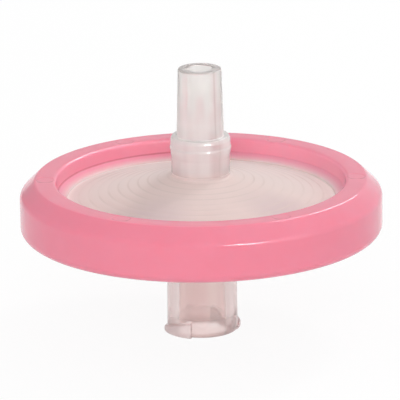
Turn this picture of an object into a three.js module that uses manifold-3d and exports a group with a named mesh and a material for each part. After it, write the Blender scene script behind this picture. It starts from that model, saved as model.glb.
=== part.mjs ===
// Disc syringe filter: two clear polypropylene housings pinch a membrane, and a pink ring
// moulded round their flanges holds them together.
// Millimetres, +Z up. Z 0 is the mouth of the inlet socket, and the Z axis is the flow axis.
import * as THREE from "three";
import { mergeVertices } from "three/addons/utils/BufferGeometryUtils.js";
import Module from "manifold-3d";

const wasm = await Module();
wasm.setup();

// ---- Driving dimensions ----

const turnSegments = 48; // facets round each turned surface
const roundSteps = 3; // straight steps in each small fillet or rounded edge
const cutRun = 1; // how far a cutting solid runs past what it cuts
const luerTaper = 0.03; // change of radius for each millimetre along a 6 % luer cone

// Seal ring
const ringRadius = 16.5;
const ringHeight = 4.95;
const topBevelWidth = 1.4; // slope between the flat crest and the outer wall
const topBevelHeight = 1.35;
const crestWidth = 1.9; // flat annulus on top
const lowRound = 0.8; // rounding between the outer wall and the lower face
const ringInnerDraft = 0.15; // the recess wall leans in by this much
const lipWidth = 0.85; // the lip that laps onto the clear plate
const lipRise = 0.45;
const lipEdge = 0.1; // thickness where the lip ends
const ringWall = 1.5; // pink wall outside the flanges
const markCount = 6; // shallow round pin marks on the crest
const markRadius = 0.85;
const markDepth = 0.1;
const markFacets = 16;

// Membrane
const membraneThickness = 0.15;
const membraneGrip = 0.7; // width pinched outside the lip's edge

// Both plates
const flangeThickness = 0.58;
const flangeClearance = 0.05; // between the flange edge and the ring
const membraneClearance = 0.1; // between the membrane's edge and its pocket
const chamberInset = 0.2; // the chamber stops this far inside the lip's edge
const ribRoot = 0.45;
const ribTip = 0.3;
const firstRib = 3.04;
const ribMargin = 0.5; // least distance from a rib's centre to the chamber wall
const leastRibHeight = 0.15; // a rib shorter than this is left off
const channelCount = 6; // radial channels that cross the ribs
const channelWidth = 0.6;
const channelBite = 0.1; // how far a channel sinks below the foot of the ribs

// Outlet side
const outletRibPitch = 0.9;
const outletRise = 2.2; // the conical plate climbs this far to the collar
const outletEdgeWall = 0.42;
const outletCentreWall = 0.95;
const collarStep = 0.49; // the collar stands out this far round the foot of the tip
const collarHeight = 3.7;
const collarFillet = 0.3;
const beadReach = 0.15; // the collar's bead stands out by this much
const beadDrop = 1.05; // from the collar's top face to the widest point of the bead
const beadRun = 0.9; // from the widest point down to the plain collar
const collarTopInset = 0.08; // the top edge lies this far inside the plain collar
const tipEndRadius = 1.985;
const tipLength = 6.25;
const tipChamfer = 0.12;
const outletBoreRadius = 1.15;
const outletBoreFlare = 0.15; // the bore is wider by this much where it leaves the chamber

// Inlet side
const inletRibPitch = 1.8;
const inletLength = 9.35; // from the socket's mouth to the ring's lower face
const inletRise = 1.5; // the conical plate falls this far to the hub
const inletEdgeWall = 0.42;
const inletCentreWall = 0.95;
const inletRibGap = 0.3; // between the ribs and the membrane
const hubMouthRadius = 3.23;
const hubDraft = 0.08; // the hub is narrower at its root by this much
const hubFillet = 0.3;
const mouthRound = 0.2;
const socketMouthRadius = 2.145;
const socketChamfer = 0.15;
const socketDepth = 8.0;
const inletBoreRadius = 1.1;

// Lugs
const lugReach = 0.34; // beyond the hub's outer wall
const lugHeight = 1.35; // at the tall end
const lugLead = 5.0; // rise for one full turn
const lugToe = 0.12; // height at the low end
const lugToeSunk = 0.04; // at the low end the lug starts this far inside the hub's wall
const lugToeShare = 0.32; // share of its length over which a lug grows to its full reach
const lugEndAngle = 72; // degrees from +X, anticlockwise seen from above, of one tall end
const lugRoot = 0.12; // how deep a lug is rooted in the hub wall
const lugSteps = 14;

// ---- Positions worked out from the driving dimensions ----

const membraneZ = inletLength + ringHeight / 2;
const membraneTop = membraneZ + membraneThickness / 2;
const membraneBottom = membraneZ - membraneThickness / 2;
const outletFlangeZ = membraneTop + flangeThickness;
const inletFlangeZ = membraneBottom - flangeThickness;
const crestZ = inletLength + ringHeight;

const crestOuterRadius = ringRadius - topBevelWidth;
const rimRadius = crestOuterRadius - crestWidth;
const recessFootRadius = rimRadius - ringInnerDraft;
const lipEdgeRadius = recessFootRadius - lipWidth;
const flangeRadius = ringRadius - ringWall;
const membraneRadius = lipEdgeRadius + membraneGrip;
const pocketRadius = membraneRadius + membraneClearance;
const chamberRadius = lipEdgeRadius - chamberInset;

const tipRootRadius = tipEndRadius + luerTaper * tipLength;
const collarRadius = tipRootRadius + collarStep;
const hubRootRadius = hubMouthRadius - hubDraft;

const collarFootZ = outletFlangeZ + outletRise;
const collarTopZ = collarFootZ + collarHeight;
const tipEndZ = collarTopZ + tipLength;
const hubRootZ = inletFlangeZ - inletRise;

// ---- Geometry helpers ----

// Points of an arc about [cr, cz], in degrees from the outward radial direction.
function arc(cr, cz, radius, from, to, steps) {
  return Array.from({ length: steps + 1 }, (_, i) => {
    const a = THREE.MathUtils.degToRad(from + ((to - from) * i) / steps);
    return [cr + radius * Math.cos(a), cz + radius * Math.sin(a)];
  });
}

// A manifold-3d solid from a closed three.js geometry.
function solidOf(geometry) {
  const bare = geometry.clone();
  bare.deleteAttribute("normal");
  bare.deleteAttribute("uv");
  const merged = mergeVertices(bare);
  return new wasm.Manifold(
    new wasm.Mesh({
      numProp: 3,
      vertProperties: merged.attributes.position.array,
      triVerts: new Uint32Array(merged.index.array),
    }),
  );
}

function geometryOf(solid) {
  const mesh = solid.getMesh();
  const geometry = new THREE.BufferGeometry();
  geometry.setAttribute("position", new THREE.BufferAttribute(mesh.vertProperties, 3));
  geometry.setIndex(new THREE.BufferAttribute(mesh.triVerts, 1));
  geometry.computeVertexNormals();
  return geometry;
}

// A solid turned about Z from a profile of [radius, z] points, anticlockwise, closed on itself.
function turned(profile) {
  const points = [...profile, profile[0]].map(([r, z]) => new THREE.Vector2(r, z));
  return solidOf(new THREE.LatheGeometry(points, turnSegments).rotateX(Math.PI / 2));
}

// A solid of constant width, centred on the XZ plane, from an outline of [x, z] points.
function slab(outline, width) {
  const shape = new THREE.Shape(outline.map(([x, z]) => new THREE.Vector2(x, z)));
  const geometry = new THREE.ExtrudeGeometry(shape, { depth: width, bevelEnabled: false });
  return solidOf(geometry.translate(0, 0, -width / 2).rotateX(Math.PI / 2));
}

// Height of the straight line through two [radius, z] points, at radius r.
function lineAt([r1, z1], [r2, z2], r) {
  return z1 + ((z2 - z1) * (r - r1)) / (r2 - r1);
}

// Fillet between a sloping plate and an upright wall, from the plate to the wall. plateEdge and
// wallFoot are two points of the plate's face. side is +1 above the plate and -1 below it.
function rootFillet(plateEdge, wallFoot, radius, side) {
  const slope = Math.atan2(side * (wallFoot[1] - plateEdge[1]), plateEdge[0] - wallFoot[0]);
  const centreR = wallFoot[0] + radius;
  const centreZ = lineAt(plateEdge, wallFoot, centreR) + (side * radius) / Math.cos(slope);
  const from = 270 - THREE.MathUtils.radToDeg(slope);
  return arc(centreR, centreZ, radius, side * from, side * 180, roundSteps);
}

// Copies of a solid spaced evenly round the Z axis, joined into one.
function ringOf(solid, count) {
  let all = solid;
  for (let i = 1; i < count; i += 1) all = all.add(solid.rotate([0, 0, (360 * i) / count]));
  return all;
}

// ---- Ribs and channels shared by the two plates ----

function ribCentres(pitch, footZ, tipZ) {
  const centres = [];
  for (let r = firstRib; r <= chamberRadius - ribMargin; r += pitch) {
    if (Math.abs(footZ(r) - tipZ) >= leastRibHeight) centres.push(r);
  }
  return centres;
}

// Profile of the ribs from the axis outwards: feet on footZ(r), tips at tipZ.
function ribProfile(pitch, footZ, tipZ) {
  return ribCentres(pitch, footZ, tipZ).flatMap((r) => [
    [r - ribRoot / 2, footZ(r - ribRoot / 2)],
    [r - ribTip / 2, tipZ],
    [r + ribTip / 2, tipZ],
    [r + ribRoot / 2, footZ(r + ribRoot / 2)],
  ]);
}

// The channels, as one solid to cut away: side is +1 where the ribs hang down, -1 where they stand up.
function channels(footZ, tipZ, side) {
  const outer = chamberRadius - ribMargin / 2;
  const clear = tipZ - side * cutRun;
  const outline = [
    [0, clear],
    [outer, clear],
    [outer, footZ(outer) + side * channelBite],
    [0, footZ(0) + side * channelBite],
  ];
  return ringOf(slab(side > 0 ? outline : outline.reverse(), channelWidth), channelCount);
}

// ---- Pieces ----

function outletHousing() {
  const edge = [chamberRadius, outletFlangeZ - outletEdgeWall];
  const centre = [collarRadius, collarFootZ - outletCentreWall];
  const footZ = (r) => lineAt(edge, centre, r);
  const boreFootRadius = outletBoreRadius + outletBoreFlare;
  const plateEdge = [chamberRadius, outletFlangeZ];
  const profile = [
    [boreFootRadius, footZ(boreFootRadius)],
    ...ribProfile(outletRibPitch, footZ, membraneTop),
    [chamberRadius, footZ(chamberRadius)],
    [chamberRadius, membraneTop],
    [pocketRadius, membraneTop],
    [pocketRadius, membraneZ],
    [flangeRadius, membraneZ],
    [flangeRadius, outletFlangeZ],
    plateEdge,
    ...rootFillet(plateEdge, [collarRadius, collarFootZ], collarFillet, 1),
    [collarRadius, collarTopZ - beadDrop - beadRun],
    [collarRadius + beadReach, collarTopZ - beadDrop],
    [collarRadius + beadReach / 2, collarTopZ - beadDrop / 3],
    [collarRadius - collarTopInset, collarTopZ],
    [tipRootRadius, collarTopZ],
    [tipEndRadius + luerTaper * tipChamfer, tipEndZ - tipChamfer],
    [tipEndRadius - tipChamfer, tipEndZ],
    [outletBoreRadius, tipEndZ],
  ];
  return turned(profile).subtract(channels(footZ, membraneTop, 1));
}

// One lug: a sector that hugs the hub, flat on the mouth plane, whose top climbs as a helix.
function lug() {
  const innerRadius = hubMouthRadius - lugRoot;
  const span = ((lugHeight - lugToe) * 360) / lugLead;
  const positions = [];
  for (let i = 0; i <= lugSteps; i += 1) {
    const share = i / lugSteps;
    const a = THREE.MathUtils.degToRad(lugEndAngle - span * (1 - share));
    const top = lugToe + (lugHeight - lugToe) * share;
    const grown = Math.min(1, share / lugToeShare);
    const outerRadius = hubMouthRadius - lugToeSunk + (lugReach + lugToeSunk) * grown;
    for (const [r, z] of [
      [innerRadius, 0],
      [outerRadius, 0],
      [outerRadius, top],
      [innerRadius, top],
    ])
      positions.push(r * Math.cos(a), r * Math.sin(a), z);
  }
  const index = [0, 1, 2, 0, 2, 3];
  for (let i = 0; i < lugSteps; i += 1)
    for (let k = 0; k < 4; k += 1) {
      const a = 4 * i + k;
      const b = 4 * i + ((k + 1) % 4);
      index.push(a, a + 4, b, b, a + 4, b + 4);
    }
  const last = 4 * lugSteps;
  index.push(last, last + 2, last + 1, last, last + 3, last + 2);
  const geometry = new THREE.BufferGeometry();
  geometry.setAttribute("position", new THREE.BufferAttribute(new Float32Array(positions), 3));
  geometry.setIndex(index);
  return solidOf(geometry);
}

function inletHousing() {
  const edge = [chamberRadius, inletFlangeZ + inletEdgeWall];
  const centre = [hubRootRadius, hubRootZ + inletCentreWall];
  const footZ = (r) => lineAt(edge, centre, r);
  const ribTipZ = membraneBottom - inletRibGap;
  const plateEdge = [chamberRadius, inletFlangeZ];
  const socketEndRadius = socketMouthRadius - luerTaper * socketDepth;
  const profile = [
    [socketMouthRadius + socketChamfer, 0],
    ...arc(hubMouthRadius - mouthRound, mouthRound, mouthRound, 270, 360, roundSteps),
    ...rootFillet(plateEdge, [hubRootRadius, hubRootZ], hubFillet, -1).reverse(),
    plateEdge,
    [flangeRadius, inletFlangeZ],
    [flangeRadius, membraneZ],
    [pocketRadius, membraneZ],
    [pocketRadius, membraneBottom],
    [chamberRadius, membraneBottom],
    [chamberRadius, footZ(chamberRadius)],
    ...ribProfile(inletRibPitch, footZ, ribTipZ).reverse(),
    [inletBoreRadius, footZ(inletBoreRadius)],
    [inletBoreRadius, socketDepth],
    [socketEndRadius, socketDepth],
    [socketMouthRadius - luerTaper * socketChamfer, socketChamfer],
  ];
  return turned(profile).subtract(channels(footZ, ribTipZ, -1)).add(ringOf(lug(), 2));
}

function membrane() {
  const disc = new THREE.CylinderGeometry(membraneRadius, membraneRadius, membraneThickness, turnSegments);
  return solidOf(disc.rotateX(Math.PI / 2).translate(0, 0, membraneZ));
}

// The six pin marks, as one solid to cut away.
function pinMarks() {
  const pin = new THREE.CylinderGeometry(markRadius, markRadius, 2 * markDepth, markFacets);
  pin.rotateX(Math.PI / 2).translate(rimRadius + crestWidth / 2, 0, crestZ);
  return ringOf(solidOf(pin), markCount);
}

function sealRing() {
  const cavityRadius = flangeRadius + flangeClearance;
  const topFootZ = outletFlangeZ + lipEdge + lipRise;
  const lowFootZ = inletFlangeZ - lipEdge - lipRise;
  const profile = [
    [rimRadius, inletLength],
    ...arc(ringRadius - lowRound, inletLength + lowRound, lowRound, 270, 360, roundSteps),
    [ringRadius, crestZ - topBevelHeight],
    [crestOuterRadius, crestZ],
    [rimRadius, crestZ],
    [recessFootRadius, topFootZ],
    [lipEdgeRadius, outletFlangeZ + lipEdge],
    [lipEdgeRadius, outletFlangeZ],
    [cavityRadius, outletFlangeZ],
    [cavityRadius, inletFlangeZ],
    [lipEdgeRadius, inletFlangeZ],
    [lipEdgeRadius, inletFlangeZ - lipEdge],
    [recessFootRadius, lowFootZ],
  ];
  return turned(profile).subtract(pinMarks());
}

// ---- Materials and the object ----

const clearPlastic = { color: 0xe6dcd9, roughness: 0.25, metalness: 0, transparent: true, opacity: 0.6 };
const pinkPlastic = { color: 0xee8ea2, roughness: 0.35, metalness: 0 };
const filterPaper = { color: 0xf4f2ee, roughness: 0.9, metalness: 0 };

const filter = new THREE.Group();

function addPiece(name, solid, finish) {
  const mesh = new THREE.Mesh(geometryOf(solid), new THREE.MeshStandardMaterial(finish));
  mesh.name = name;
  filter.add(mesh);
}

addPiece("outlet_housing", outletHousing(), clearPlastic);
addPiece("inlet_housing", inletHousing(), clearPlastic);
addPiece("membrane", membrane(), filterPaper);
addPiece("seal_ring", sealRing(), pinkPlastic);

export default filter;
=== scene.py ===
# A disc syringe filter: clear polypropylene housings round a membrane, in a pink moulded ring.
# Sizes are in millimetres and angles in degrees, unless a comment says otherwise.
# Profiles are (radius, height) points that run anticlockwise.
import math

import bpy
import bmesh
import numpy as np
from mathutils import Matrix, Quaternion, Vector


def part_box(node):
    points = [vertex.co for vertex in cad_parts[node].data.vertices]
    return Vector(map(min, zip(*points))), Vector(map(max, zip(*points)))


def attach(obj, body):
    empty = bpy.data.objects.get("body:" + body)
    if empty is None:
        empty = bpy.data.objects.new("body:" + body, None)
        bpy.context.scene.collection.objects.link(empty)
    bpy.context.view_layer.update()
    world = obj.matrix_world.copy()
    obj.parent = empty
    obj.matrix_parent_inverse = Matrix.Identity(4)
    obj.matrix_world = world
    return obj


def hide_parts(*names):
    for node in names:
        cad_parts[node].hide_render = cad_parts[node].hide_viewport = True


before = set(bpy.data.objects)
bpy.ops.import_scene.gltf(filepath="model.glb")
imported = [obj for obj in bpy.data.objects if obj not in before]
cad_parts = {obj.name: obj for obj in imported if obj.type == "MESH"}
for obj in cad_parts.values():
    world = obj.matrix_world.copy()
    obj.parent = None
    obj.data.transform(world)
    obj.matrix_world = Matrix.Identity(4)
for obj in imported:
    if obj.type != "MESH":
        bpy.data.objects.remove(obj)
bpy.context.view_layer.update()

MM = 0.001  # metres


def box_mm(node):
    low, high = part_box(node)
    return low / MM, high / MM


# ---- Sizes that the frame gives ----

ring_low, ring_high = box_mm("seal_ring")
outlet_low, outlet_high = box_mm("outlet_housing")
inlet_low, inlet_high = box_mm("inlet_housing")
sheet_low, sheet_high = box_mm("membrane")

RING_RADIUS = ring_high.x
RING_FOOT_Z = ring_low.z
CREST_Z = ring_high.z
FLANGE_RADIUS = outlet_high.x
TIP_END_Z = outlet_high.z
MOUTH_Z = inlet_low.z
SPLIT_Z = outlet_low.z
SHEET_RADIUS = sheet_high.x
SHEET_TOP_Z = sheet_high.z
SHEET_LOW_Z = sheet_low.z

# ---- Sizes of the ring ----

BEVEL_WIDTH, BEVEL_HEIGHT, CREST_WIDTH = 1.4, 1.35, 1.9
INNER_DRAFT = 0.15  # how far the recess narrows from its rim to its foot
LIP_WIDTH, LIP_RISE, LIP_EDGE = 0.85, 0.45, 0.1
LIP_BEVEL, LIP_THIN = 0.12, 0.03  # width of the bevel at the upper lip's edge, and its height there
CAVITY_GAP = 0.05  # between the ring and the flanges' outer edge
CREASE_ROUND, CREST_ROUND, RIM_ROUND = 0.8, 0.3, 0.35
LOW_ROUND, LOW_RIM_ROUND = 0.8, 0.2
LIP_FOOT_ROUND, LIP_BEVEL_ROUND, LIP_THIN_ROUND, LOW_LIP_ROUND = 0.08, 0.1, 0.02, 0.04
MARKS, MARK_RADIUS, MARK_DEPTH = 6, 0.85, 0.03
MARK_FLOOR_INSET, MARK_EDGE_INSET, MARK_FLARE = 0.12, 0.04, 0.05  # the softened edge of a pin mark

# ---- Sizes of both housings ----

FLANGE = 0.58
CHAMBER_INSET = 0.2
POCKET_GAP = 0.1
EDGE_WALL, CENTRE_WALL = 0.42, 0.95
FIRST_RIB, RIB_ROOT, RIB_TIP, RIB_MARGIN, LEAST_RIB = 3.04, 0.45, 0.3, 0.5, 0.15
RIB_FOOT_ROUND, RIB_TIP_ROUND = 0.05, 0.06
CHANNELS, CHANNEL_WIDTH, CHANNEL_BITE = 6, 0.6, 0.1
CHANNEL_WALL = 0.05  # half the width that a channel's wall takes on the mesh
LUER_TAPER = 0.03  # change of radius along each millimetre
PLATE_ROUND, INNER_ROUND, SEAT_ROUND = 0.5, 0.05, 0.03

# ---- Sizes of the outlet housing ----

OUTLET_PITCH = 0.9
SINK, SINK_OVERRUN = 0.015, 0.5  # depth of the sink marks, and how far they stay from the cone's ends
TIP_END_RADIUS, TIP_LENGTH = 1.985, 6.25
TIP_FOOT_ROUND, TIP_END_ROUND = 0.1, 0.14
COLLAR_STEP, COLLAR_HEIGHT, COLLAR_FILLET = 0.49, 3.7, 0.15
COLLAR_TOP_INSET, COLLAR_TOP_ROUND = 0.08, 0.12
BEAD_REACH, BEAD_DROP, BEAD_RUN = 0.15, 1.05, 0.9
BEAD_TOP_IN, BEAD_TOP_UP, BEAD_NECK_IN = 0.07, 0.2, 0.02  # where the bead turns in above its crest
BEAD_FOOT_ROUND, BEAD_ROUND, BEAD_NECK_ROUND = 0.8, 0.3, 0.5
OUTLET_BORE, OUTLET_FLARE, BORE_ROUND = 1.15, 0.15, 0.08

# ---- Sizes of the inlet housing ----

INLET_PITCH, INLET_RISE, INLET_RIB_GAP = 1.8, 1.5, 0.3
HUB_MOUTH, HUB_DRAFT, HUB_FILLET, MOUTH_ROUND = 3.23, 0.08, 0.3, 0.2
SOCKET_MOUTH, SOCKET_CHAMFER, SOCKET_DEPTH, INLET_BORE = 2.145, 0.15, 8.0, 1.1
SOCKET_END_ROUND, SOCKET_EDGE_ROUND = 0.1, 0.04
LUG_REACH, LUG_HEIGHT, LUG_LEAD, LUG_END = 0.34, 1.35, 5.0, 72.0
LUG_TOE, LUG_TOE_SHARE, LUG_TOE_SUNK = 0.12, 0.32, 0.04  # the low end, and how it grows from the wall
LUG_EMERGES = 0.06  # share of a lug's length over which its toe comes out of the wall
LUG_LOW_ROUND, LUG_HIGH_ROUND, LUG_ROOT, LUG_LEAN = 0.08, 0.2, 0.14, 0.1
TALL_END_GAP = 0.02  # between the two columns that make a lug's upright end

# ---- Rows and columns of the meshes ----

ARC_STEPS, RING_ARC_STEPS = 4, 6  # steps in each rounded corner
STRAIGHT = 88  # a corner whose half angle is more than this is left as it is
CORNER_REACH = 0.45  # the most of a side that a rounded corner takes
RING_COLUMNS, MARK_SIDES = 384, 48
SHEET_SIDES, SHEET_STEP = 192, 0.1
SHEET_SAG = 0.015  # half of the membrane's deepest sag
SPREAD = 18  # columns between a channel's wall and the middle of its sector
WALL_STEP = 0.4  # the inner columns of a channel's wall, as a share of CHANNEL_WALL
CHANNEL_KEEP = [0, 0, 0, 0.12, 0.88, 1]  # a rib's height at the columns from a channel's middle out
SINK_STEPS = 8  # rows on the cone's top for each rib
LUG_ROOM = 1.9  # the rows of the hub's foot, where the lugs are, end at this height
BLEND_TOP, BLEND_ROWS = 4.2, 12  # from this height up the columns follow the channels again
FOOT_INSET = 0.4  # the foot's rows start this far in from the hub's edge
BARE_TOP, BARE_START = 0.5, 0.3  # least top of the plain foot's rows, and the share they start at
HUB_SLACK = 0.1  # rows of the hub's outside lie no further than this inside its radius
BORE_SLACK = 0.02  # rows nearer the bore than this take no channels
QUARTER_STEPS = 5
ON_FACE = 1e-4  # heights closer than this count as equal
TINY = 1e-6  # lets a range of radii take in its own end
SHARP, RING_SHARP = 45, 35  # edges that turn by more than this are shaded sharp

# ---- Positions worked out from the sizes ----

OUTLET_FLANGE_Z = SHEET_TOP_Z + FLANGE
INLET_FLANGE_Z = SHEET_LOW_Z - FLANGE
CREST_OUTER = RING_RADIUS - BEVEL_WIDTH
RIM = CREST_OUTER - CREST_WIDTH
MARK_CENTRE = RIM + CREST_WIDTH / 2
RECESS_FOOT = RIM - INNER_DRAFT
LIP_RADIUS = RECESS_FOOT - LIP_WIDTH
CHAMBER = LIP_RADIUS - CHAMBER_INSET
POCKET = SHEET_RADIUS + POCKET_GAP
TIP_ROOT = TIP_END_RADIUS + LUER_TAPER * TIP_LENGTH
COLLAR = TIP_ROOT + COLLAR_STEP
COLLAR_TOP_Z = TIP_END_Z - TIP_LENGTH
COLLAR_FOOT_Z = COLLAR_TOP_Z - COLLAR_HEIGHT
HUB_ROOT = HUB_MOUTH - HUB_DRAFT
HUB_ROOT_Z = INLET_FLANGE_Z - INLET_RISE
LUG_RISE = LUG_HEIGHT - LUG_TOE
LUG_SPAN = LUG_RISE * 360 / LUG_LEAD  # how far one lug reaches round the hub

# ---- Looks of the clear plastic ----
# A clearness is the share of the plastic that is seen through; the rest is milky.
# A fade is two distances from a named place: where a look is nothing, and where it is full.
# A band is an angle to the right of the front, and how far it reaches to both sides.

PLASTIC_IOR = 1.49
CLEAR_COAT, CLEAR_COAT_ROUGH, CLEAR_SPECULAR = 0.1, 0.04, 0.3
DISC_ROUGH, TIP_ROUGH, HUB_ROUGH = 0.8, 0.06, 0.12
ROUGH_SPREAD = 0.02  # how far a roughness varies to both sides
FLOW_DEPTH = 0.01
EVEN_WEIGHT = 0.5  # makes a layer weight follow the angle of view evenly
BAND_CORE = 0.3  # the middle of a band, where it is full, as a share of its reach

INSIDE_CLEAR, INSIDE_COLOUR = 0.95, (1.0, 0.99, 0.985)
DISC_CLEAR, EDGE_CLEAR, COLLAR_CLEAR = 0.25, 0.05, 0.40
TIP_CLEAR, END_CLEAR, END_REACH = 0.37, 0.67, 4.8  # the tip grows clearer to its end, over the reach
HUB_CLEAR, FOOT_CLEAR, LUG_CLEAR = 0.76, 0.42, 0.22

# The warm pink tint of the clear plastic's colours is partly painted pink light from the ring.
DISC_COLOURS = ((0.89, 0.72, 0.68), (0.91, 0.745, 0.71))
# painted sheen, which makes the cone paler where it is seen aslant
DISC_PAINTED_SHEEN, GRAZED_FADE = (0.95, 0.84, 0.81), (0.6, 0.95)
# painted shade in two sectors of the cone: the tip's shadow at the front left, and more shade at the
# front right
DISC_SHADE_BANDS, DISC_PAINTED_SHADE, DISC_SHADE_FADE = ((-27, 26), (50, 24)), (0.80, 0.645, 0.64), (5, 9)
# a fine line of painted shade over each rib, where the ribs beneath show through the cone
DISC_RIB_SHADE, RIB_SHADE_FADE = (0.83, 0.68, 0.64), (0.6, 1)
FAINTEST, FAINT_FADE = 0.2, (0.4, 0.6)  # the fine lines grow faint in places
# painted light on the cone near its edge, where it meets the lip
EDGE_PAINTED_LIGHT, EDGE_FADE = (0.94, 0.81, 0.78), (-0.5, 0)
COLLAR_COLOURS, COLLAR_FADE = ((0.95, 0.89, 0.88), (1.0, 0.975, 0.955)), (-0.1, 0.9)
# painted shade on the collar, in an upright band to the right of the front
COLLAR_SHADE_BAND, COLLAR_PAINTED_SHADE = (33, 18), (0.88, 0.78, 0.77)
TIP_COLOURS, TIP_FADE = ((0.95, 0.92, 0.89), (1.0, 0.985, 0.96)), (-0.1, 1)
# painted shade on the tip's end face
END_SHADE, END_FADE = (1.0, 0.94, 0.92), (-0.12, -0.02)
BORE_FADE, BENEATH_FADE = (0.15, 0.1), (0.3, 0.36)  # where the look of the inner faces sets in
POLISH_FADE = (0.3, 0.31)  # above the collar's foot, where the gloss starts at one step
PARTING_TURN, PARTING_SHADE, PARTING_FADE = 40, 0.6, (0.14, 0.04)
PARTING_COLOUR = (0.80, 0.73, 0.70)

# The hub's pink tint is partly painted pink light from the ring.
HUB_COLOURS = ((0.955, 0.795, 0.775), (0.98, 0.835, 0.815))
# painted light on the hub in three upright bands
HUB_LIGHT_BANDS, HUB_PAINTED_LIGHT = ((22, 18), (-46, 9), (57, 7)), (1.0, 0.90, 0.875)
# painted pink light on the hub's sides, where they are seen edge on
HUB_SIDE_LIGHT, SIDE_FADE = (0.97, 0.78, 0.76), (0.5, 0.9)
FOOT_COLOUR, FOOT_FADE = (0.93, 0.77, 0.745), (1.8, 0.2)
# a fine line of painted shade over each rib of the inlet's plate
PLATE_RIB_SHADE, PLATE_SHADE = (0.88, 0.72, 0.70), 0.8
PLATE_RIB_SHADE_FADE, PLATE_FADE = (0.4, 1), (0, 0.5)
LUG_COLOUR, LUG_FADE, LUG_TOP_FADE = (1.0, 0.88, 0.86), (0.02, 0.12), (0.5, 0.3)
SOCKET_FADE = (0.2, 0.1)

# ---- Looks of the pink plastic and the membrane ----

PINK_COLOURS = ((0.887, 0.258, 0.346), (0.908, 0.292, 0.390))
PINK_ROUGH, PINK_SPECULAR, PINK_BUMP = 0.11, 0.3, 0.0008
PINK_INNER_LIGHT, PINK_DEPTHS, PINK_DEPTH = 0.6, (1.0, 0.4, 0.45), 0.6
RIGHT_FADE = (1, 8)  # right of the middle, where the second colour of each pair below takes over: painted light, which makes both paler on the right
# painted light, which makes the recess wall paler than the rest of the ring
WALL_LIGHT_COLOURS, WALL_FADE = ((0.975, 0.320, 0.428), (1.0, 0.37, 0.475)), (0.15, 0)
LIP_LIGHT_COLOURS = ((0.94, 0.56, 0.58), (1.0, 0.65, 0.66))  # painted light, which makes the pink palest where the lip is thinnest
LIP_FADE = (0.02, -0.02)
LIP_START, LIP_CURVE = 0.15, 1.4  # where the lip starts to pale, and how slowly it does at first
# painted light along the lip's edge, where it meets the cone
LIP_EDGE_LIGHT, LIP_EDGE_FADE = (1.0, 0.63, 0.61), (0.12, 0.02)
# painted shade in the crease at the recess wall's foot
CREASE_SHADE, CREASE_FADE = (0.76, 0.20, 0.27), (0.14, 0.03)
CREASE_RIGHT, CREASE_SIDES = 0.1, (-4, 4)  # how much of the painted shade is left on the right
# painted shade along the edge of each pin mark on the crest
MARK_EDGE_SHADE, MARK_SHADE, MARK_FADE = (0.72, 0.20, 0.26), 0.28, (0.12, 0.03)
MARK_LINE_INSET, CREST_FADE = 0.05, (-0.15, -0.1)
SHEET_COLOURS, SHEET_ROUGH, SHEET_BUMP = ((0.92, 0.90, 0.89), (0.95, 0.935, 0.925)), (0.8, 0.95), 0.02

# ---- Noise patterns: stretch along x, y and z, cells in a millimetre, detail, roughness ----

FLOW = ((1, 1, 0.25), 0.5, 2, 0.5)
TIP_STREAKS = ((1, 1, 0.04), 1.1, 1, 0.5)
HUB_STREAKS = ((1, 1, 0.04), 0.8, 1, 0.5)
CLEAR_GRAIN = ((1, 1, 1), 6, 2, 0.5)
FAINT_PLACES = ((1, 1, 1), 0.25, 1, 0.5)
PINK_MOTTLE = ((1, 1, 1), 0.35, 3, 0.5)
PINK_GRAIN = ((1, 1, 1), 9, 2, 0.5)
FIBRES = ((1, 1, 1), 14, 4, 0.7)
CLOUDS = ((1, 1, 1), 0.8, 2, 0.5)
NOISE_LOW, NOISE_HIGH = 0.3, 0.7  # most of a noise lies between these

# ---- Studio, in metres unless a comment says otherwise ----

FLOOR_SIZE, FLOOR_Z = 4, -0.00001
FLOOR_COLOUR, FLOOR_WHITE, FLOOR_SHARE = (0.85, 0.85, 0.85), 1.02, 0.9
WORLD_LIGHT = 0.66  # the world's level where it lights a surface; it is 1 where it is seen
WORLD_LEFT, WORLD_TURN = 0.42, 0.4  # its mirrored level at the left, which rises to 1 at the right
# name: direction from the crest, distance, width, height, radiance, and what it does besides
LAMPS = {
    "fill": ((0, -0.90, 0.42), 0.4, 0.25, 0.15, 5.4, {"shines": False}),
    "back": ((0.50, 0.55, 0.80), 0.35, 0.09, 0.09, 13, {"shines": False}),
    "sheen": ((0.75, -0.55, 0.35), 0.4, 0.35, 0.25, 2, {"shades": False}),
    "rim_glint": (
        (0.53, 0.415, 0.738), 0.35, 0.08, 0.36, 20, {"along": (0.11, 0.70, -0.46), "shades": False}
    ),
    "front_glint": ((0.43, -0.81, 0.39), 0.35, 0.16, 0.07, 30, {"shades": False}),
}
SENSOR_WIDTH, LENS = 36, 452.8  # millimetres
CAMERA_DISTANCE, CAMERA_ELEVATION, CAMERA_ROLL, CAMERA_CLIP = 0.4574, 16.52, 0.7, 10
CAMERA_AIM = (-0.1, 0, 12.2)  # millimetres

# ---- Profiles ----


def line_at(a, b, r):
    """The height at radius r of the line through two points."""
    return a[1] + (b[1] - a[1]) * (r - a[0]) / (b[0] - a[0])


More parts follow.
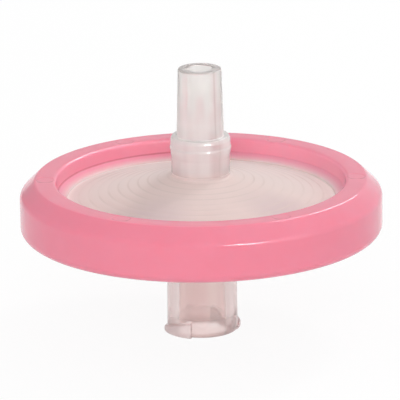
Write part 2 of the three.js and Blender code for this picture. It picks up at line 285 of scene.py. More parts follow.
def rounded(corners, steps=ARC_STEPS):
    """A closed profile with each corner (r, z, rounding) turned into an arc that touches both sides."""
    points = []
    count = len(corners)
    for i, (r, z, size) in enumerate(corners):
        here = np.array([r, z])
        back = np.array(corners[i - 1][:2]) - here
        ahead = np.array(corners[(i + 1) % count][:2]) - here
        reach_back, reach_ahead = np.linalg.norm(back), np.linalg.norm(ahead)
        back, ahead = back / reach_back, ahead / reach_ahead
        half = math.acos(max(-1.0, min(1.0, float(back @ ahead)))) / 2
        if size <= 0 or half > math.radians(STRAIGHT):
            points.append((r, z))
            continue
        cut = min(size / math.tan(half), CORNER_REACH * reach_back, CORNER_REACH * reach_ahead)
        radius = cut * math.tan(half)
        middle = (back + ahead) / np.linalg.norm(back + ahead)
        centre = here + middle * radius / math.sin(half)
        first, last = here + back * cut - centre, here + ahead * cut - centre
        start, end = math.atan2(first[1], first[0]), math.atan2(last[1], last[0])
        turn = (end - start + math.pi) % (2 * math.pi) - math.pi
        for k in range(steps + 1):
            a = start + turn * k / steps
            points.append((centre[0] + radius * math.cos(a), centre[1] + radius * math.sin(a)))
    return points


# ---- Meshes ----


def linked_object(name, data):
    made = bpy.data.objects.new(name, data)
    bpy.context.scene.collection.objects.link(made)
    return made


def mesh_object(name, vertices, faces):
    """A mesh object from points in millimetres."""
    mesh = bpy.data.meshes.new(name)
    mesh.from_pydata(np.asarray(vertices) * MM, [], faces)
    mesh.validate()
    return linked_object(name, mesh)


def smooth_surface(piece, sharp):
    """Smooth shading that keeps flats even, and sharp edges where faces turn by more than an angle."""
    piece.data.shade_smooth()
    piece.data.set_sharp_from_angle(angle=math.radians(sharp))
    even = piece.modifiers.new("even_flats", "WEIGHTED_NORMAL")
    even.mode = "FACE_AREA"
    even.keep_sharp = True


def grid_object(name, grid):
    """A closed skin over grid[column, row], which goes round in both directions."""
    columns, rows = grid.shape[:2]
    index = np.arange(columns * rows).reshape(columns, rows)
    right, up = np.roll(index, -1, axis=0), np.roll(index, -1, axis=1)
    corner = np.roll(right, -1, axis=1)
    faces = np.stack([index, right, corner, up], axis=-1).reshape(-1, 4)
    return mesh_object(name, grid.reshape(-1, 3), faces.tolist())


def turned_grid(angles, radius, height):
    """Points at angles in radians about the axis."""
    return np.stack([radius * np.cos(angles), radius * np.sin(angles), height], axis=-1)


# ---- The ring ----


def ring_profile():
    top_foot = OUTLET_FLANGE_Z + LIP_EDGE + LIP_RISE
    low_foot = INLET_FLANGE_Z - LIP_EDGE - LIP_RISE
    bevel_z = OUTLET_FLANGE_Z + LIP_EDGE + LIP_BEVEL * LIP_RISE / LIP_WIDTH
    cavity = FLANGE_RADIUS + CAVITY_GAP
    corners = [
        (RIM, RING_FOOT_Z, LOW_RIM_ROUND),
        (RING_RADIUS, RING_FOOT_Z, LOW_ROUND),
        (RING_RADIUS, CREST_Z - BEVEL_HEIGHT, CREASE_ROUND),
        (CREST_OUTER, CREST_Z, CREST_ROUND),
        (RIM, CREST_Z, RIM_ROUND),
        (RECESS_FOOT, top_foot, LIP_FOOT_ROUND),
        (LIP_RADIUS + LIP_BEVEL, bevel_z, LIP_BEVEL_ROUND),
        (LIP_RADIUS, OUTLET_FLANGE_Z + LIP_THIN, LIP_THIN_ROUND),
        (LIP_RADIUS, OUTLET_FLANGE_Z, 0),
        (cavity, OUTLET_FLANGE_Z, 0),
        (cavity, INLET_FLANGE_Z, 0),
        (LIP_RADIUS, INLET_FLANGE_Z, 0),
        (LIP_RADIUS, INLET_FLANGE_Z - LIP_EDGE, LOW_LIP_ROUND),
        (RECESS_FOOT, low_foot, LIP_FOOT_ROUND),
    ]
    return rounded(corners, RING_ARC_STEPS)


def add_pin_mark(built, at):
    """A short solid that cuts one pin mark, with a softened edge."""
    section = [
        (MARK_RADIUS - MARK_FLOOR_INSET, -MARK_DEPTH),
        (MARK_RADIUS - MARK_EDGE_INSET, -MARK_DEPTH / 2),
        (MARK_RADIUS, 0),
        (MARK_RADIUS + MARK_FLARE, MARK_DEPTH),
    ]
    turns = [2 * math.pi * k / MARK_SIDES for k in range(MARK_SIDES)]
    loops = []
    for r, z in section:
        points = [at + Vector((r * math.cos(t), r * math.sin(t), z)) for t in turns]
        loops.append([built.verts.new(point) for point in points])
    for low, high in zip(loops, loops[1:]):
        for k in range(MARK_SIDES):
            after = (k + 1) % MARK_SIDES
            built.faces.new((low[k], low[after], high[after], high[k]))
    built.faces.new(list(reversed(loops[0])))
    built.faces.new(loops[-1])


def pin_cutter():
    """All the pin marks as one object, spaced evenly round the crest."""
    built = bmesh.new()
    for mark in range(MARKS):
        a = 2 * math.pi * mark / MARKS
        add_pin_mark(built, Vector((MARK_CENTRE * math.cos(a), MARK_CENTRE * math.sin(a), CREST_Z)))
    mesh = bpy.data.meshes.new("pin_cutter")
    bmesh.ops.scale(built, vec=(MM, MM, MM), verts=built.verts)
    built.to_mesh(mesh)
    built.free()
    return linked_object("pin_cutter", mesh)


def cut_away(piece, cutter):
    """Take the cutter out of the piece's mesh, and remove the cutter."""
    cut = piece.modifiers.new("cut", "BOOLEAN")
    cut.operation = "DIFFERENCE"
    cut.solver = "EXACT"
    cut.object = cutter
    shown = piece.evaluated_get(bpy.context.evaluated_depsgraph_get())
    mesh = bpy.data.meshes.new_from_object(shown)
    piece.modifiers.clear()
    piece.data = mesh
    bpy.data.objects.remove(cutter)


def make_ring():
    radius, height = np.array(ring_profile()).T
    angles = np.linspace(0, 2 * math.pi, RING_COLUMNS, endpoint=False)[:, None]
    ring = grid_object("pink_ring", turned_grid(angles, radius, height + 0 * angles))
    cut_away(ring, pin_cutter())
    return ring


# ---- Columns of the two clear housings: they follow the walls of the radial channels ----


def channel_steps():
    """Distances from a channel's middle to its columns, out to the far side of its wall."""
    half = CHANNEL_WIDTH / 2
    inner = WALL_STEP * CHANNEL_WALL
    return np.array([0, half / 2, half - CHANNEL_WALL, half - inner, half + inner, half + CHANNEL_WALL])


def column_angles(radius):
    """Angles of every column at each radius, in radians, as [column, row]."""
    steps = channel_steps()
    half_sector = math.pi / CHANNELS
    near = np.arcsin(steps[:, None] / np.maximum(radius, INLET_BORE))
    share = np.arange(1, SPREAD + 1)[:, None] / SPREAD
    far = near[-1] + (half_sector - near[-1]) * share
    half = np.vstack([near, far])
    sector = np.vstack([half, 2 * half_sector - half[-2:0:-1]])
    return np.vstack([sector + 2 * half_sector * k for k in range(CHANNELS)])


def rib_share():
    """How much of a rib's height each column keeps: none in a channel, all between channels."""
    half = CHANNEL_KEEP + [1] * SPREAD
    sector = half + half[-2:0:-1]
    return np.array(sector * CHANNELS)[:, None]


def rib_corners(pitch, foot, tip_z):
    """Corners of every rib that is tall enough, from the inside out. They stand on the line foot(r)."""
    corners = []
    root, tip = RIB_ROOT / 2, RIB_TIP / 2
    for r in np.arange(FIRST_RIB, CHAMBER - RIB_MARGIN + TINY, pitch):
        if abs(foot(r) - tip_z) < LEAST_RIB:
            continue
        corners += [(r - root, foot(r - root), RIB_FOOT_ROUND), (r - tip, tip_z, RIB_TIP_ROUND)]
        corners += [(r + tip, tip_z, RIB_TIP_ROUND), (r + root, foot(r + root), RIB_FOOT_ROUND)]
    return corners


def with_channels(grid_r, grid_z, foot, tip_side, least_r=0):
    """Heights with the ribs cut through by the channels. tip_side is +1 where the ribs hang down."""
    foot_z = foot(grid_r)
    on_ribs = (grid_r > least_r) & (grid_r < CHAMBER - RIB_MARGIN / 2)
    on_ribs &= tip_side * (foot_z - grid_z) > -ON_FACE
    floor = foot_z + tip_side * CHANNEL_BITE
    keep = rib_share()
    return np.where(on_ribs, grid_z * keep + floor * (1 - keep), grid_z)


# ---- The outlet housing ----


def sink_marks():
    """The cone's top between its edge and the collar, sunk a little over each rib."""
    points = []
    for r in np.arange(CHAMBER - SINK_OVERRUN, COLLAR + SINK_OVERRUN, -OUTLET_PITCH / SINK_STEPS):
        z = line_at((CHAMBER, OUTLET_FLANGE_Z), (COLLAR, COLLAR_FOOT_Z), r)
        over_rib = 0.5 + 0.5 * math.cos(2 * math.pi * (r - FIRST_RIB) / OUTLET_PITCH)
        points.append((r, z - SINK * over_rib, 0))
    return points

def outlet_profile():
    """The profile, and the line that its ribs stand on."""
    edge = (CHAMBER, OUTLET_FLANGE_Z - EDGE_WALL)
    centre = (COLLAR, COLLAR_FOOT_Z - CENTRE_WALL)
    bore_foot = OUTLET_BORE + OUTLET_FLARE

    def foot(r):
        return line_at(edge, centre, r)

    inside = [(bore_foot, foot(bore_foot), 0)]
    inside += rib_corners(OUTLET_PITCH, foot, SHEET_TOP_Z)
    inside += [
        (CHAMBER, foot(CHAMBER), INNER_ROUND),
        (CHAMBER, SHEET_TOP_Z, SEAT_ROUND),
        (POCKET, SHEET_TOP_Z, 0),
        (POCKET, SPLIT_Z, 0),
    ]
    outside = [
        (FLANGE_RADIUS, SPLIT_Z, 0),
        (FLANGE_RADIUS, OUTLET_FLANGE_Z, 0),
        (CHAMBER, OUTLET_FLANGE_Z, PLATE_ROUND),
        *sink_marks(),
        (COLLAR, COLLAR_FOOT_Z, COLLAR_FILLET),
        (COLLAR, COLLAR_TOP_Z - BEAD_DROP - BEAD_RUN, BEAD_FOOT_ROUND),
        (COLLAR + BEAD_REACH, COLLAR_TOP_Z - BEAD_DROP, BEAD_ROUND),
        (COLLAR + BEAD_REACH - BEAD_TOP_IN, COLLAR_TOP_Z - BEAD_DROP + BEAD_TOP_UP, BEAD_ROUND),
        (COLLAR + BEAD_REACH / 2 - BEAD_NECK_IN, COLLAR_TOP_Z - BEAD_DROP / 3, BEAD_NECK_ROUND),
        (COLLAR - COLLAR_TOP_INSET, COLLAR_TOP_Z, COLLAR_TOP_ROUND),
        (TIP_ROOT, COLLAR_TOP_Z, TIP_FOOT_ROUND),
        (TIP_END_RADIUS, TIP_END_Z, TIP_END_ROUND),
        (OUTLET_BORE, TIP_END_Z, BORE_ROUND),
    ]
    return rounded(inside + outside), foot


def make_outlet():
    profile, foot = outlet_profile()
    radius, height = np.array(profile).T
    angles = column_angles(radius)
    grid_r = np.broadcast_to(radius, angles.shape)
    grid_z = with_channels(grid_r, np.broadcast_to(height, angles.shape), foot, 1)
    return grid_object("outlet_shell", turned_grid(angles, grid_r, grid_z))


# ---- The inlet housing ----


def hub_radius(z):
    return HUB_MOUTH + (HUB_ROOT - HUB_MOUTH) * z / HUB_ROOT_Z


def quarter(start, end, bend):
    """Points of a rounded corner from start to end, bent towards the sharp corner."""
    shares = np.linspace(0, 1, QUARTER_STEPS)[:, None]
    start, end, bend = np.array(start), np.array(end), np.array(bend)
    return (1 - shares) ** 2 * start + 2 * shares * (1 - shares) * bend + shares**2 * end


def bare_foot(height):
    """The hub's plain foot, with its rows spread over the height that a lug would take."""
    top = BARE_TOP + (height - LUG_TOE) * (LUG_HEIGHT - BARE_TOP) / LUG_RISE
    start = (HUB_MOUTH - MOUTH_ROUND, MOUTH_Z)
    end = (hub_radius(MOUTH_ROUND), MOUTH_ROUND)
    corner = quarter(start, end, (HUB_MOUTH, MOUTH_Z))
    rest = 2 * QUARTER_STEPS + 1  # as many as a lug's foot has after its first corner
    levels = MOUTH_ROUND + (top - MOUTH_ROUND) * np.linspace(BARE_START, 1, rest)
    wall = np.stack([hub_radius(levels), levels], axis=-1)
    return np.vstack([[(HUB_MOUTH - FOOT_INSET, MOUTH_Z)], corner, wall])


def lug_foot(height, outer):
    """The hub's foot through a lug: flat underneath and upright outside. Its top leans to the hub."""
    low = min(LUG_LOW_ROUND, height / 3)
    high = min(LUG_HIGH_ROUND, height / 3)
    lean = LUG_LEAN * (outer - HUB_MOUTH)
    top = height + lean
    corner = quarter((outer - low, MOUTH_Z), (outer, low), (outer, MOUTH_Z))
    middle = [(outer, (low + height - high) / 2)]
    wall = hub_radius(height)
    shoulder = quarter((outer, height - high), (outer - high, height + lean / 2), (outer, height))
    inside = quarter((wall + LUG_ROOT, top), (wall, top + LUG_ROOT), (wall, top))
    return np.vstack([[(HUB_MOUTH - FOOT_INSET, MOUTH_Z)], corner, middle, shoulder, inside])


def foot_at(degrees):
    """The profile of the hub's foot at one angle, from the mouth's face out and up to the wall."""
    back = (LUG_END - degrees) % 180
    if back < LUG_SPAN:
        share = 1 - back / LUG_SPAN
        grown = min(1, share / LUG_TOE_SHARE)
        height = LUG_TOE + LUG_RISE * share
        outer = HUB_MOUTH - LUG_TOE_SUNK + (LUG_REACH + LUG_TOE_SUNK) * grown
        emerged = min(1, share / LUG_EMERGES)
        return emerged * lug_foot(height, outer) + (1 - emerged) * bare_foot(height)
    gap = 180 - LUG_SPAN
    return bare_foot(LUG_TOE + LUG_RISE * (back - LUG_SPAN) / gap)


def foot_angles(columns):
    """Even columns round the hub's foot, in radians, apart from a close pair at each lug's tall end."""
    half = columns // 2
    near = math.radians(LUG_END)
    pair = round(near / math.pi * half)
    slit = TALL_END_GAP / HUB_MOUTH
    knots = [0, pair, pair + 1, half]
    at = [0, near - slit / 2, near + slit / 2, math.pi]
    first = np.interp(np.arange(half), knots, at)
    return np.concatenate([first, first + math.pi])


def inlet_profile():
    """The profile from the wall above the lugs round to the socket's rim, and its ribs' line."""
    edge = (CHAMBER, INLET_FLANGE_Z + EDGE_WALL)
    centre = (HUB_ROOT, HUB_ROOT_Z + CENTRE_WALL)
    tip_z = SHEET_LOW_Z - INLET_RIB_GAP
    socket_end = SOCKET_MOUTH - LUER_TAPER * SOCKET_DEPTH

    def foot(r):
        return line_at(edge, centre, r)

    outside = [(hub_radius(z), z, 0) for z in np.linspace(LUG_ROOM, BLEND_TOP, BLEND_ROWS)]
    outside += [
        (HUB_ROOT, HUB_ROOT_Z, HUB_FILLET),
        (CHAMBER, INLET_FLANGE_Z, PLATE_ROUND),
        (FLANGE_RADIUS, INLET_FLANGE_Z, 0),
        (FLANGE_RADIUS, SPLIT_Z, 0),
        (POCKET, SPLIT_Z, 0),
        (POCKET, SHEET_LOW_Z, 0),
        (CHAMBER, SHEET_LOW_Z, SEAT_ROUND),
        (CHAMBER, foot(CHAMBER), INNER_ROUND),
    ]
    inside = list(reversed(rib_corners(INLET_PITCH, foot, tip_z)))
    inside += [
        (INLET_BORE, foot(INLET_BORE), INNER_ROUND),
        (INLET_BORE, SOCKET_DEPTH, INNER_ROUND),
        (socket_end, SOCKET_DEPTH, SOCKET_END_ROUND),
        (SOCKET_MOUTH - LUER_TAPER * SOCKET_CHAMFER, SOCKET_CHAMFER, INNER_ROUND),
        (SOCKET_MOUTH + SOCKET_CHAMFER, MOUTH_Z, SOCKET_EDGE_ROUND),
        (SOCKET_MOUTH + 2 * SOCKET_CHAMFER, MOUTH_Z, 0),
    ]
    return rounded(outside + inside), foot


def make_inlet():
    """The upper rows follow the channels, the foot's rows the lugs, and the hub blends the two."""
    profile, foot = inlet_profile()
    radius, height = np.array(profile).T
    angles = column_angles(radius)
    around = foot_angles(len(angles))
    share = np.clip((BLEND_TOP - height) / (BLEND_TOP - LUG_ROOM), 0, 1)
    share = np.where(radius > HUB_ROOT - HUB_SLACK, share * share * (3 - 2 * share), 0)
    angles = angles * (1 - share) + around[:, None] * share
    grid_r = np.broadcast_to(radius, angles.shape)
    grid_z = np.broadcast_to(height, angles.shape)
    grid_z = with_channels(grid_r, grid_z, foot, -1, INLET_BORE + BORE_SLACK)
    upper = turned_grid(angles, grid_r, grid_z)
    low = np.array([foot_at(math.degrees(a)) for a in around])
    lower = turned_grid(around[:, None], low[..., 0], low[..., 1])
    return grid_object("inlet_shell", np.concatenate([lower, upper], axis=1))


# ---- The membrane ----


def make_membrane():
    """A thin sheet that sags a little between the ribs it lies against."""
    rings = np.concatenate([np.arange(SHEET_STEP, SHEET_RADIUS, SHEET_STEP), [SHEET_RADIUS]])
    sag = SHEET_SAG * (1 - np.cos(2 * math.pi * (rings - FIRST_RIB) / OUTLET_PITCH))
    # the loops run in along the top, and out again along the underside
    radius = np.concatenate([rings[::-1], rings])
    height = np.concatenate([(SHEET_TOP_Z - sag)[::-1], np.full(len(rings), SHEET_LOW_Z)])
    turns = np.linspace(0, 2 * math.pi, SHEET_SIDES, endpoint=False)[None, :]
    loops = turned_grid(turns, radius[:, None], height[:, None] + 0 * turns)
    vertices = loops.reshape(-1, 3).tolist()
    count, middle = len(radius), len(rings)
    index = np.arange(count * SHEET_SIDES).reshape(count, SHEET_SIDES)
    ahead = np.roll(index, -1, axis=1)
    faces = []
    for a in [*range(middle - 1), *range(middle, count)]:
        b = (a + 1) % count
        faces += np.stack([index[a], ahead[a], ahead[b], index[b]], axis=-1).tolist()
    for loop, flip in ((middle - 1, 1), (middle, -1)):
        vertices.append([0, 0, height[loop]])
        centre = len(vertices) - 1
        around = zip(index[loop].tolist(), ahead[loop].tolist())
        faces += [[a, b, centre][::flip] for a, b in around]
    return mesh_object("membrane_sheet", vertices, faces)


# ---- Nodes ----


def give(tree, holder, inputs):
    """Set a node's inputs by name or number: a socket to link, a value, or a colour's three values."""
    for key, value in inputs.items():
        socket = holder.inputs[key]
        if isinstance(value, bpy.types.NodeSocket):
            tree.links.new(value, socket)
        elif socket.type == "RGBA":
            socket.default_value = (*value, 1)
        else:
            socket.default_value = value


def node(tree, kind, inputs=None, **settings):
    """A new node with its settings and inputs."""
    made = tree.nodes.new("ShaderNode" + kind)
    for key, value in settings.items():
        setattr(made, key, value)
    give(tree, made, inputs or {})
    return made


def maths(tree, operation, first, second=0.0):
    return node(tree, "Math", {0: first, 1: second}, operation=operation).outputs[0]


def mix_values(tree, share, first, second):
    return node(tree, "Mix", {"Factor": share, 2: first, 3: second}).outputs[0]


def blend(tree, share, first, second):
    """A colour between two colours."""
    return node(tree, "Mix", {"Factor": share, 6: first, 7: second}, data_type="RGBA").outputs[2]


def spread(tree, value, low, high, start=NOISE_LOW, end=NOISE_HIGH):
    """The value between start and end spread over low to high."""
    inputs = {"Value": value, "From Min": start, "From Max": end, "To Min": low, "To Max": high}
    return node(tree, "MapRange", inputs).outputs["Result"]


def fade(tree, value, origin, distances, full=1):
    """Nothing at the first distance from the origin, and full at the second."""
    start, end = origin + distances[0], origin + distances[1]
    if start < end:
        return spread(tree, value, 0, full, start, end)
    return spread(tree, value, full, 0, end, start)


def coordinates(tree, stretch=(1, 1, 1)):
    """The object's own coordinates, in millimetres."""
    place = node(tree, "TexCoord").outputs["Object"]
    scale = [v / MM for v in stretch]
    return node(tree, "Mapping", {"Vector": place, "Scale": scale}).outputs["Vector"]


def noise(tree, stretch, per_mm, detail, roughness):
    inputs = {"Scale": per_mm, "Detail": detail, "Roughness": roughness}
    inputs["Vector"] = coordinates(tree, stretch)
    return node(tree, "TexNoise", inputs).outputs["Fac"]


def bump(tree, height, depth):
    inputs = {"Height": height, "Distance": depth * MM, "Strength": 1}
    return node(tree, "Bump", inputs).outputs["Normal"]


def length(tree, x, y):
    flat = node(tree, "CombineXYZ", {"X": x, "Y": y}).outputs[0]
    return node(tree, "VectorMath", {0: flat}, operation="LENGTH").outputs["Value"]


def position(tree):
    """Each point's x, y and height, and its distance from the axis."""
    apart = node(tree, "SeparateXYZ", {0: coordinates(tree)}).outputs
    return apart["X"], apart["Y"], apart["Z"], length(tree, apart["X"], apart["Y"])


def aslant(tree, distances):
    """Nothing where a surface faces the view, and one where it is seen edge on."""
    facing = node(tree, "LayerWeight", {"Blend": EVEN_WEIGHT}).outputs["Facing"]
    return fade(tree, facing, 0, distances)


def turn_from_front(tree, x, y):
    """How far to the right of the front each point lies, in radians about the axis."""
    return maths(tree, "ARCTAN2", x, maths(tree, "MULTIPLY", y, -1))


def band(tree, turn, at, reach):
    """One in the middle of an upright band, fading out over its reach."""
    off_middle = maths(tree, "ABSOLUTE", maths(tree, "SUBTRACT", turn, math.radians(at)))
    return spread(tree, off_middle, 1, 0, math.radians(reach) * BAND_CORE, math.radians(reach))


def bands(tree, turn, places):
    """The sum of several upright bands."""
    total = 0
    for at, reach in places:
        total = maths(tree, "ADD", total, band(tree, turn, at, reach))
    return total


def parting_line(tree):
    """The strength of the mould's parting line, which runs down both sides."""
    towards = math.radians(PARTING_TURN)
    across = (math.cos(towards), math.sin(towards), 0)
    inputs = {0: coordinates(tree), 1: across}
    off_plane = node(tree, "VectorMath", inputs, operation="DOT_PRODUCT").outputs["Value"]
    return fade(tree, maths(tree, "ABSOLUTE", off_plane), 0, PARTING_FADE, PARTING_SHADE)


def rib_lines(tree, radius, pitch, distances, full=1):
    """Full on the middle of each rib, and nothing between ribs."""
    ribs = maths(tree, "MULTIPLY", maths(tree, "SUBTRACT", radius, FIRST_RIB), 2 * math.pi / pitch)
    return fade(tree, maths(tree, "COSINE", ribs), 0, distances, full)


def layered(tree, colour, layers):
    """A colour with others laid over it in turn, each by its own share."""
    for share, over in layers:
        colour = blend(tree, share, colour, over)
    return colour


# ---- Materials ----


def new_material(name, inputs):
    """A material whose shader has the given constants. Also gives its node tree and its shader."""
    material = bpy.data.materials.new(name)
    material.use_nodes = True
    tree = material.node_tree
    shader = tree.nodes["Principled BSDF"]
    give(tree, shader, inputs)
    return material, tree, shader


def clear_plastic(name):
    inputs = {
        "IOR": PLASTIC_IOR,
        "Coat Weight": CLEAR_COAT,
        "Coat Roughness": CLEAR_COAT_ROUGH,
        "Specular IOR Level": CLEAR_SPECULAR,
    }
    return new_material(name, inputs)


def varied(tree, pattern, middle=0):
    """A roughness that varies a little about its middle."""
    return spread(tree, noise(tree, *pattern), middle - ROUGH_SPREAD, middle + ROUGH_SPREAD)


def disc_colour(tree, turn, radius):
    """The outlet's cone: a painted sheen aslant, painted shade in two sectors, a fine line of painted
    shade over each rib, and painted light near its edge.
    """
    painted_shade = maths(tree, "MULTIPLY", bands(tree, turn, DISC_SHADE_BANDS), fade(tree, radius, 0, DISC_SHADE_FADE))
    faint = spread(tree, noise(tree, *FAINT_PLACES), FAINTEST, 1, *FAINT_FADE)
    lines = maths(tree, "MULTIPLY", rib_lines(tree, radius, OUTLET_PITCH, RIB_SHADE_FADE), faint)
    layers = (
        (aslant(tree, GRAZED_FADE), DISC_PAINTED_SHEEN),
        (painted_shade, DISC_PAINTED_SHADE),
        (lines, DISC_RIB_SHADE),
        (fade(tree, radius, CHAMBER, EDGE_FADE), EDGE_PAINTED_LIGHT),
    )
    return layered(tree, blend(tree, noise(tree, *FLOW), *DISC_COLOURS), layers)


def outlet_inside(tree, height, radius):
    """One on the bore and on the underside of the cone, and nothing on the outside."""
    in_bore = fade(tree, radius, OUTLET_BORE, BORE_FADE)
    slope = (COLLAR_FOOT_Z - OUTLET_FLANGE_Z) / (CHAMBER - COLLAR)
    inputs = {0: radius, 1: -slope, 2: OUTLET_FLANGE_Z + slope * CHAMBER}
    cone = node(tree, "Math", inputs, operation="MULTIPLY_ADD").outputs[0]
    beneath = fade(tree, maths(tree, "SUBTRACT", cone, height), 0, BENEATH_FADE)
    return maths(tree, "MAXIMUM", in_bore, beneath)


def clear_outlet():
    material, tree, shader = clear_plastic("clear_polypropylene_outlet")
    x, y, height, radius = position(tree)
    turn = turn_from_front(tree, x, y)
    on_collar = fade(tree, height, COLLAR_FOOT_Z, COLLAR_FADE)
    on_tip = fade(tree, height, COLLAR_TOP_Z, TIP_FADE)
    inside = outlet_inside(tree, height, radius)

    def by_place(mix, disc, collar, tip):
        return mix(tree, on_tip, mix(tree, on_collar, disc, collar), tip)

    at_edge = fade(tree, radius, CHAMBER, EDGE_FADE)
    disc_clear = mix_values(tree, at_edge, DISC_CLEAR, EDGE_CLEAR)
    tip_clear = spread(tree, height, TIP_CLEAR, END_CLEAR, TIP_END_Z - END_REACH, TIP_END_Z)
    clear = by_place(mix_values, disc_clear, COLLAR_CLEAR, tip_clear)

    streaks = spread(tree, noise(tree, *TIP_STREAKS), 0, 1)
    parting = (parting_line(tree), PARTING_COLOUR)
    painted_shade = (band(tree, turn, *COLLAR_SHADE_BAND), COLLAR_PAINTED_SHADE)
    at_end = (fade(tree, height, TIP_END_Z, END_FADE), END_SHADE)
    collar = layered(tree, blend(tree, streaks, *COLLAR_COLOURS), (painted_shade, parting))
    tip = layered(tree, blend(tree, streaks, *TIP_COLOURS), (at_end, parting))
    outside = by_place(blend, disc_colour(tree, turn, radius), collar, tip)

    polished = fade(tree, height, COLLAR_FOOT_Z, POLISH_FADE)
    smooth = mix_values(tree, polished, DISC_ROUGH, TIP_ROUGH)
    looks = {
        "Transmission Weight": mix_values(tree, inside, clear, INSIDE_CLEAR),
        "Base Color": blend(tree, inside, outside, INSIDE_COLOUR),
        "Roughness": maths(tree, "ADD", varied(tree, CLEAR_GRAIN), smooth),
        "Normal": bump(tree, noise(tree, *FLOW), FLOW_DEPTH),
    }
    give(tree, shader, looks)
    return material


def clear_inlet():
    material, tree, shader = clear_plastic("clear_polypropylene_inlet")
    x, y, height, radius = position(tree)
    turn = turn_from_front(tree, x, y)
    inside = fade(tree, radius, SOCKET_MOUTH, SOCKET_FADE)
    low = fade(tree, height, 0, FOOT_FADE)
    below = fade(tree, height, LUG_HEIGHT, LUG_TOP_FADE)
    on_lug = maths(tree, "MULTIPLY", fade(tree, radius, HUB_MOUTH, LUG_FADE), below)
    clear = mix_values(tree, on_lug, mix_values(tree, low, HUB_CLEAR, FOOT_CLEAR), LUG_CLEAR)
    on_plate = fade(tree, height, HUB_ROOT_Z, PLATE_FADE)
    lines = rib_lines(tree, radius, INLET_PITCH, PLATE_RIB_SHADE_FADE, PLATE_SHADE)
    layers = (
        (bands(tree, turn, HUB_LIGHT_BANDS), HUB_PAINTED_LIGHT),
        (aslant(tree, SIDE_FADE), HUB_SIDE_LIGHT),
        (low, FOOT_COLOUR),
        (parting_line(tree), PARTING_COLOUR),
        (maths(tree, "MULTIPLY", lines, on_plate), PLATE_RIB_SHADE),
        (on_lug, LUG_COLOUR),
    )
    streaks = spread(tree, noise(tree, *HUB_STREAKS), 0, 1)
    looks = {
        "Transmission Weight": mix_values(tree, inside, clear, INSIDE_CLEAR),
        "Base Color": layered(tree, blend(tree, streaks, *HUB_COLOURS), layers),
        "Roughness": varied(tree, CLEAR_GRAIN, HUB_ROUGH),
        "Normal": bump(tree, noise(tree, *FLOW), FLOW_DEPTH),
    }
    give(tree, shader, looks)
    return material


def mark_edges(tree, x, y, height, radius):
    """The strength of the painted shade along the edge of each pin mark."""
    folded = maths(tree, "PINGPONG", maths(tree, "ARCTAN2", y, x), math.pi / MARKS)
    outward = maths(tree, "MULTIPLY", radius, maths(tree, "COSINE", folded))
    sideways = maths(tree, "MULTIPLY", radius, maths(tree, "SINE", folded))
    reach = length(tree, maths(tree, "SUBTRACT", outward, MARK_CENTRE), sideways)
    off_edge = maths(tree, "ABSOLUTE", maths(tree, "SUBTRACT", reach, MARK_RADIUS - MARK_LINE_INSET))
    on_crest = fade(tree, height, CREST_Z, CREST_FADE)
    return maths(tree, "MULTIPLY", on_crest, fade(tree, off_edge, 0, MARK_FADE, MARK_SHADE))


def pink_plastic():
    """The ring: paler on its recess wall and lips by painted light, with a dark line of painted shade
    at the wall's foot, and painted shade along each pin mark's edge.
    """
    inputs = {
        "IOR": PLASTIC_IOR,
        "Subsurface Weight": PINK_INNER_LIGHT,
        "Subsurface Radius": PINK_DEPTHS,
        "Subsurface Scale": PINK_DEPTH * MM,
        "Specular IOR Level": PINK_SPECULAR,
    }
    material, tree, shader = new_material("pink_polypropylene", inputs)
    x, y, height, radius = position(tree)
    right = fade(tree, x, 0, RIGHT_FADE)
    middle = (OUTLET_FLANGE_Z + INLET_FLANGE_Z) / 2
    lip_top = (OUTLET_FLANGE_Z - INLET_FLANGE_Z) / 2 + LIP_EDGE + LIP_RISE
    from_middle = maths(tree, "ABSOLUTE", maths(tree, "SUBTRACT", height, middle))
    on_lip = fade(tree, from_middle, lip_top, LIP_FADE)
    thinness = spread(tree, radius, 1, 0, LIP_RADIUS, RECESS_FOOT - LIP_START)
    thin = maths(tree, "POWER", thinness, LIP_CURVE)
    thinnest = fade(tree, radius, LIP_RADIUS, LIP_EDGE_FADE)
    out_of_foot = maths(tree, "SUBTRACT", radius, RECESS_FOOT)
    off_foot = length(tree, out_of_foot, maths(tree, "SUBTRACT", from_middle, lip_top))
    strength = spread(tree, x, 1, CREASE_RIGHT, *CREASE_SIDES)
    layers = (
        (fade(tree, radius, RIM, WALL_FADE), blend(tree, right, *WALL_LIGHT_COLOURS)),
        (maths(tree, "MULTIPLY", on_lip, thin), blend(tree, right, *LIP_LIGHT_COLOURS)),
        (maths(tree, "MULTIPLY", on_lip, thinnest), LIP_EDGE_LIGHT),
        (maths(tree, "MULTIPLY", strength, fade(tree, off_foot, 0, CREASE_FADE)), CREASE_SHADE),
        (mark_edges(tree, x, y, height, radius), MARK_EDGE_SHADE),
    )
    looks = {
        "Base Color": layered(tree, blend(tree, noise(tree, *PINK_MOTTLE), *PINK_COLOURS), layers),
        "Roughness": varied(tree, PINK_GRAIN, PINK_ROUGH),
        "Normal": bump(tree, noise(tree, *PINK_GRAIN), PINK_BUMP),
    }
    give(tree, shader, looks)
    return material


def filter_sheet():
    material, tree, shader = new_material("filter_membrane", {})
    fibres = noise(tree, *FIBRES)
    looks = {
        "Base Color": blend(tree, noise(tree, *CLOUDS), *SHEET_COLOURS),
        "Roughness": spread(tree, fibres, *SHEET_ROUGH),
        "Normal": bump(tree, fibres, SHEET_BUMP),
    }
    give(tree, shader, looks)
    return material


# ---- Light, floor and camera ----


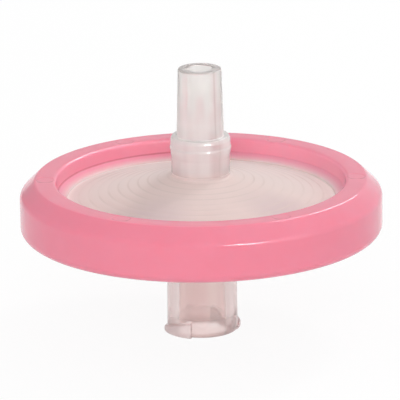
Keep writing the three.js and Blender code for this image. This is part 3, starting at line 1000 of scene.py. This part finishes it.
def studio_floor():
    """A matt floor that is nearly white where it is seen, mirrored or seen through plastic."""
    bpy.ops.mesh.primitive_plane_add(size=FLOOR_SIZE, location=(0, 0, FLOOR_Z))
    floor = bpy.context.object
    floor.name = "studio_floor"
    material = bpy.data.materials.new("floor_white")
    material.use_nodes = True
    tree = material.node_tree
    tree.nodes.clear()
    path = node(tree, "LightPath").outputs
    seen = maths(tree, "MAXIMUM", path["Is Camera Ray"], path["Is Glossy Ray"])
    seen = maths(tree, "MAXIMUM", seen, path["Is Transmission Ray"])
    share = maths(tree, "MULTIPLY", seen, FLOOR_SHARE)
    matt = node(tree, "BsdfDiffuse", {"Color": FLOOR_COLOUR}).outputs[0]
    white = node(tree, "Emission", {"Strength": FLOOR_WHITE}).outputs[0]
    mixed = node(tree, "MixShader", {0: share, 1: matt, 2: white}).outputs[0]
    node(tree, "OutputMaterial", {"Surface": mixed})
    floor.data.materials.append(material)


def studio_world():
    """White where it is seen straight or through the plastic, softer where it lights a surface, and
    dimmer at the left where it is mirrored."""
    world = bpy.data.worlds.new("studio")
    bpy.context.scene.world = world
    world.use_nodes = True
    tree = world.node_tree
    path = node(tree, "LightPath").outputs
    direction = node(tree, "TexCoord").outputs["Generated"]
    across = node(tree, "SeparateXYZ", {0: direction}).outputs["X"]
    mirrored = spread(tree, across, WORLD_LEFT, 1, -WORLD_TURN, WORLD_TURN)
    seen = maths(tree, "MAXIMUM", path["Is Camera Ray"], path["Is Transmission Ray"])
    level = mix_values(tree, path["Is Glossy Ray"], WORLD_LIGHT, mirrored)
    level = mix_values(tree, seen, level, 1)
    give(tree, tree.nodes["Background"], {"Color": (1, 1, 1), "Strength": level})


def soft_light(
    name, direction, distance, width, height, level, along=(0, 0, 1), shades=True, shines=True
):
    """A soft lamp of the given radiance, aimed at the crest, whose height runs along a direction.
    shades is whether it lights surfaces, and shines whether it shows in gloss."""
    lamp = bpy.data.lights.new(name, "AREA")
    lamp.shape = "ELLIPSE"
    lamp.size = width
    lamp.size_y = height
    lamp.energy = level * math.pi * math.pi * width * height / 4
    light = linked_object(name, lamp)
    light.visible_diffuse = shades
    light.visible_glossy = shines
    light.visible_transmission = shades and shines
    back = Vector(direction).normalized()
    side = Vector(along).cross(back).normalized()
    up = back.cross(side)
    light.location = Vector((0, 0, CREST_Z * MM)) + back * distance
    light.rotation_euler = Matrix((side, up, back)).transposed().to_euler()


def make_camera():
    data = bpy.data.cameras.new("camera")
    data.sensor_width = SENSOR_WIDTH
    data.lens = LENS
    data.clip_end = CAMERA_CLIP
    camera = linked_object("camera", data)
    elevation = math.radians(CAMERA_ELEVATION)
    back = Vector((0, -math.cos(elevation), math.sin(elevation)))
    camera.location = Vector((0, 0, CREST_Z * MM)) + CAMERA_DISTANCE * back
    aim = Vector([v * MM for v in CAMERA_AIM])
    roll = Quaternion((0, 0, 1), -math.radians(CAMERA_ROLL))
    camera.rotation_euler = ((aim - camera.location).to_track_quat("-Z", "Y") @ roll).to_euler()
    bpy.context.scene.camera = camera


# ---- The object ----


def stand_for(piece, sharp, node, material):
    """Finish a piece's surface, and let it stand for a node of the frame."""
    smooth_surface(piece, sharp)
    piece.data.materials.clear()
    piece.data.materials.append(material)
    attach(piece, "root")
    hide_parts(node)


stand_for(make_outlet(), SHARP, "outlet_housing", clear_outlet())
stand_for(make_inlet(), SHARP, "inlet_housing", clear_inlet())
stand_for(make_ring(), RING_SHARP, "seal_ring", pink_plastic())
stand_for(make_membrane(), SHARP, "membrane", filter_sheet())

studio_floor()
studio_world()
for lamp_name, (direction, distance, width, height, level, more) in LAMPS.items():
    soft_light(lamp_name, direction, distance, width, height, level, **more)
make_camera()
bpy.context.scene.view_settings.view_transform = "Standard"
